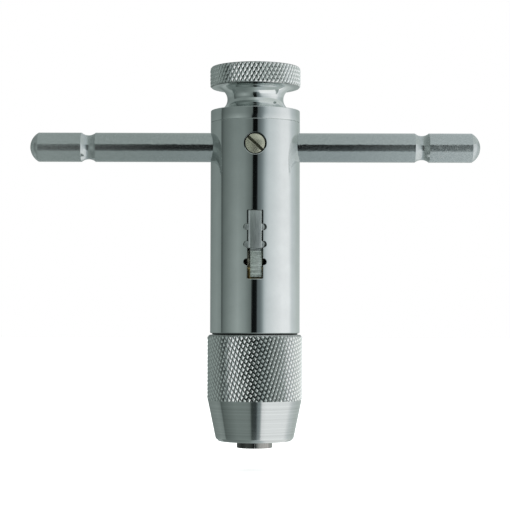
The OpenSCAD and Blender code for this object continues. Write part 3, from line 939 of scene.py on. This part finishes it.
body_sleeve()
head_knob()
detent_screw()
cross_bar()
spring("detent_spring", mean_r=1.0, wire=0.34, length=1.95, turns=3, place=along_y(0, -7.98, BAR_Z))
pawl_spring = spring(
    "pawl_spring", mean_r=0.52, wire=0.22, length=2.2, turns=5, place=along_y(0, -8.98, PAWL_Z))
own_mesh(pawl_spring)
spring("jaw_spring", mean_r=1.12, wire=0.36, length=4.56, turns=6, place=along_x(-2.28, 0, JAW_SPRING_Z))
spindle()
chuck_nut()
cone_ring()
jaw(-1)
jaw(1)
selector_slider()
broken_copy("pawl", 0.06, dark_steel)
broken_copy("ratchet_wheel", 0.08, dark_steel)
broken_copy("wheel_key", 0.08, bright_steel)
broken_copy("wheel_spacer", 0.1, bright_steel)
broken_copy("wheel_washer", 0.1, bright_steel)
broken_copy("retaining_ring", 0.06, spring_steel)
broken_copy("spindle_bush", 0.2, brass_bush)
broken_copy("thrust_washer", 0.05, black_washer)
dress(NODES["detent_ball"], bright_steel)


# ---------------------------------------------------------------- studio
def floor():
    """A large pale disc, below the lowest place that the nut reaches."""
    joints = frame["record"]["behaviour"]["joints"]
    travel = next(j["range_m"][1] for j in joints if j["name"] == "nut_advance")
    clearance = 0.2
    level = NUT_LOW - travel / MM - clearance
    piece = skin("floor", [(radius, level) for radius in (0, 60, 400, 2500)], 96)
    material = Metal("pale_floor", (0.86, 0.87, 0.87), 0.9)
    material.shader.inputs["Metallic"].default_value = 0.0
    material.vary_colour(material.grain(3), (0.85, 0.86, 0.86), (0.88, 0.89, 0.89))
    material.vary_roughness(material.grain(60), 0.85, 0.95)
    material.shader.inputs["Emission Color"].default_value = (1, 1, 1, 1)
    material.shader.inputs["Emission Strength"].default_value = 0.6
    dress(piece, material.material)
    piece.visible_glossy = False


def overhead_light():
    """A wide soft light from above for the floor. The metal reflects the walls, not the lamp."""
    data = bpy.data.lights.new("overhead", "SUN")
    data.energy = 2.2
    data.angle = math.radians(130)
    lamp = bpy.data.objects.new("overhead", data)
    bpy.context.scene.collection.objects.link(lamp)
    lamp.rotation_euler = (math.radians(12), math.radians(8), 0)
    lamp.visible_glossy = False


# The walls of light round the tool, as (degrees from the front with right positive, light level).
# LEVEL is at the tool's height, RAISED is higher up the walls and LOWERED is near the floor. A big
# grey wall stands on the left, a white one on the right and a black gap between them in front.
LEVEL = [
    (-180, 0.34), (-168, 0.22), (-133, 0.30), (-116, 0.33), (-98, 0.27), (-95, 0.06), (-91, 0.16),
    (-77, 0.24), (-45, 0.42), (-26, 0.31), (-12, 0.18), (-10, 0.18), (-9, 0.005), (4, 0.009), (6, 0.14),
    (13, 0.19), (18, 0.31), (24, 0.60), (30, 0.74), (50, 0.90), (74, 1.06), (97, 1.06), (110, 0.77),
    (137, 0.63), (170, 0.55), (180, 0.34)]
RAISED = [
    (-180, 0.34), (-160, 0.21), (-116, 0.27), (-99, 0.27), (-97, 0.09), (-84, 0.17), (-55, 0.25),
    (-28, 0.25), (-12, 0.17), (-7, 0.16), (-6, 0.004), (6, 0.004), (7, 0.12), (13, 0.18), (20, 0.29),
    (28, 0.53), (36, 0.69), (50, 0.77), (73, 0.96), (94, 0.98), (110, 0.67), (137, 0.49), (160, 0.48),
    (180, 0.34)]
LOWERED = [
    (-180, 0.48), (-140, 0.36), (-116, 0.39), (-99, 0.33), (-97, 0.16), (-86, 0.18), (-52, 0.28),
    (-22, 0.28), (-12, 0.25), (-9, 0.06), (5, 0.06), (8, 0.26), (15, 0.33), (20, 1.02), (32, 1.13),
    (95, 1.14), (115, 0.83), (150, 0.77), (180, 0.48)]
# The ceiling and the ground, as (how far the direction leans to the right, light level).
CEILING = [(-0.6, 0.27), (-0.12, 0.40), (0.0, 0.52), (0.14, 0.64), (0.3, 0.67), (0.6, 0.70)]
GROUND = [(-0.6, 0.20), (-0.12, 0.31), (0.06, 0.49), (0.14, 0.62), (0.25, 1.0), (0.6, 1.1)]


def wall_colour(level, side):
    """Light from the studio: green grey where it is dim, bluer on the right, where side is 1."""
    dim = max(0.0, 1 - level)
    blue = 0.02 + 0.08 * dim if side > 0 else 0.01 * dim
    return level * (1 - 0.14 * dim), level * (1 + 0.06 * dim), level * (1 + blue)


def studio():
    """Soft walls of light round the tool: a grey one on the left, a bright one on the right, a dark
    gap in front, and pale grey above and below. The camera itself sees plain white."""
    world = bpy.data.worlds.new("studio")
    bpy.context.scene.world = world
    world.use_nodes = True
    tree = world.node_tree
    tree.nodes.clear()

    def join(source, target):
        tree.links.new(source, target)

    parts = add(tree, "ShaderNodeSeparateXYZ")
    join(add(tree, "ShaderNodeTexCoord").outputs["Generated"], parts.inputs[0])
    x, y, z = parts.outputs
    turn = math_node(tree, "ARCTAN2", x, math_node(tree, "MULTIPLY", y, -1.0))
    azimuth = math_node(tree, "DIVIDE", math_node(tree, "ADD", turn, math.pi), TAU)
    lean_span = 1.2  # how far the ceiling and the ground ramps reach across
    right_end = 0.7  # where the bluer light of the right wall ends, as a share of half a turn

    def shaded(source, stops):
        """A colour ramp over source, with stops from 0 to 1 and light levels."""
        ramp = add(tree, "ShaderNodeValToRGB")
        join(source, ramp.inputs["Fac"])
        elements = ramp.color_ramp.elements
        for i, (at, level) in enumerate(stops):
            if i == 0:
                stop = elements[0]
            elif i == len(stops) - 1:
                stop = elements[len(elements) - 1]
            else:
                stop = elements.new(at)
            stop.position = at
            stop.color = rgba(wall_colour(level, 1 if 0 < 2 * at - 1 < right_end else -1))
        return ramp.outputs["Color"]

    def all_round(stops):
        return shaded(azimuth, [((degrees + 180) / 360, level) for degrees, level in stops])

    def sideways(stops):
        share = math_node(tree, "ADD", math_node(tree, "DIVIDE", x, lean_span), 0.5)
        return shaded(share, [(lean / lean_span + 0.5, level) for lean, level in stops])

    def blend(share, one, other):
        mix = add(tree, "ShaderNodeMix", data_type="RGBA")
        join(share, mix.inputs["Factor"])
        join(one, mix.inputs[6])
        join(other, mix.inputs[7])
        return mix.outputs[2]

    def steepness(start, end):
        """0 at the elevation start and 1 at the elevation end, in degrees."""
        low, high = math.sin(math.radians(start)), math.sin(math.radians(end))
        share = add(tree, "ShaderNodeMapRange", From_Min=low, From_Max=high)
        join(z, share.inputs["Value"])
        return share.outputs["Result"]

    walls = blend(steepness(0, 7), all_round(LEVEL), all_round(RAISED))
    walls = blend(steepness(-14, -24), walls, all_round(LOWERED))
    upper = blend(steepness(18, 21), walls, sideways(CEILING))
    surroundings = blend(steepness(-31, -34), upper, sideways(GROUND))
    backdrop = add(tree, "ShaderNodeMix", data_type="RGBA")
    join(add(tree, "ShaderNodeLightPath").outputs["Is Camera Ray"], backdrop.inputs["Factor"])
    join(surroundings, backdrop.inputs[6])
    backdrop.inputs[7].default_value = (1, 1, 1, 1)
    glow = add(tree, "ShaderNodeBackground")
    join(backdrop.outputs[2], glow.inputs["Color"])
    join(glow.outputs[0], add(tree, "ShaderNodeOutputWorld").inputs["Surface"])


def camera():
    """The photograph's view: a long lens in front of the tool, low down and tilted up a little."""
    data = bpy.data.cameras.new("camera")
    data.lens = 113.4
    data.sensor_width = 36
    data.clip_start, data.clip_end = 0.01, 20
    view = bpy.data.objects.new("camera", data)
    bpy.context.scene.collection.objects.link(view)
    view.location = (0, -0.356, 0.0281)
    tilt = Matrix.Rotation(math.radians(92.32), 4, "X") @ Matrix.Rotation(math.radians(0.14), 4, "Z")
    view.rotation_euler = tilt.to_euler()
    bpy.context.scene.camera = view


floor()
studio()
overhead_light()
camera()
bpy.context.scene.view_settings.view_transform = "Standard"
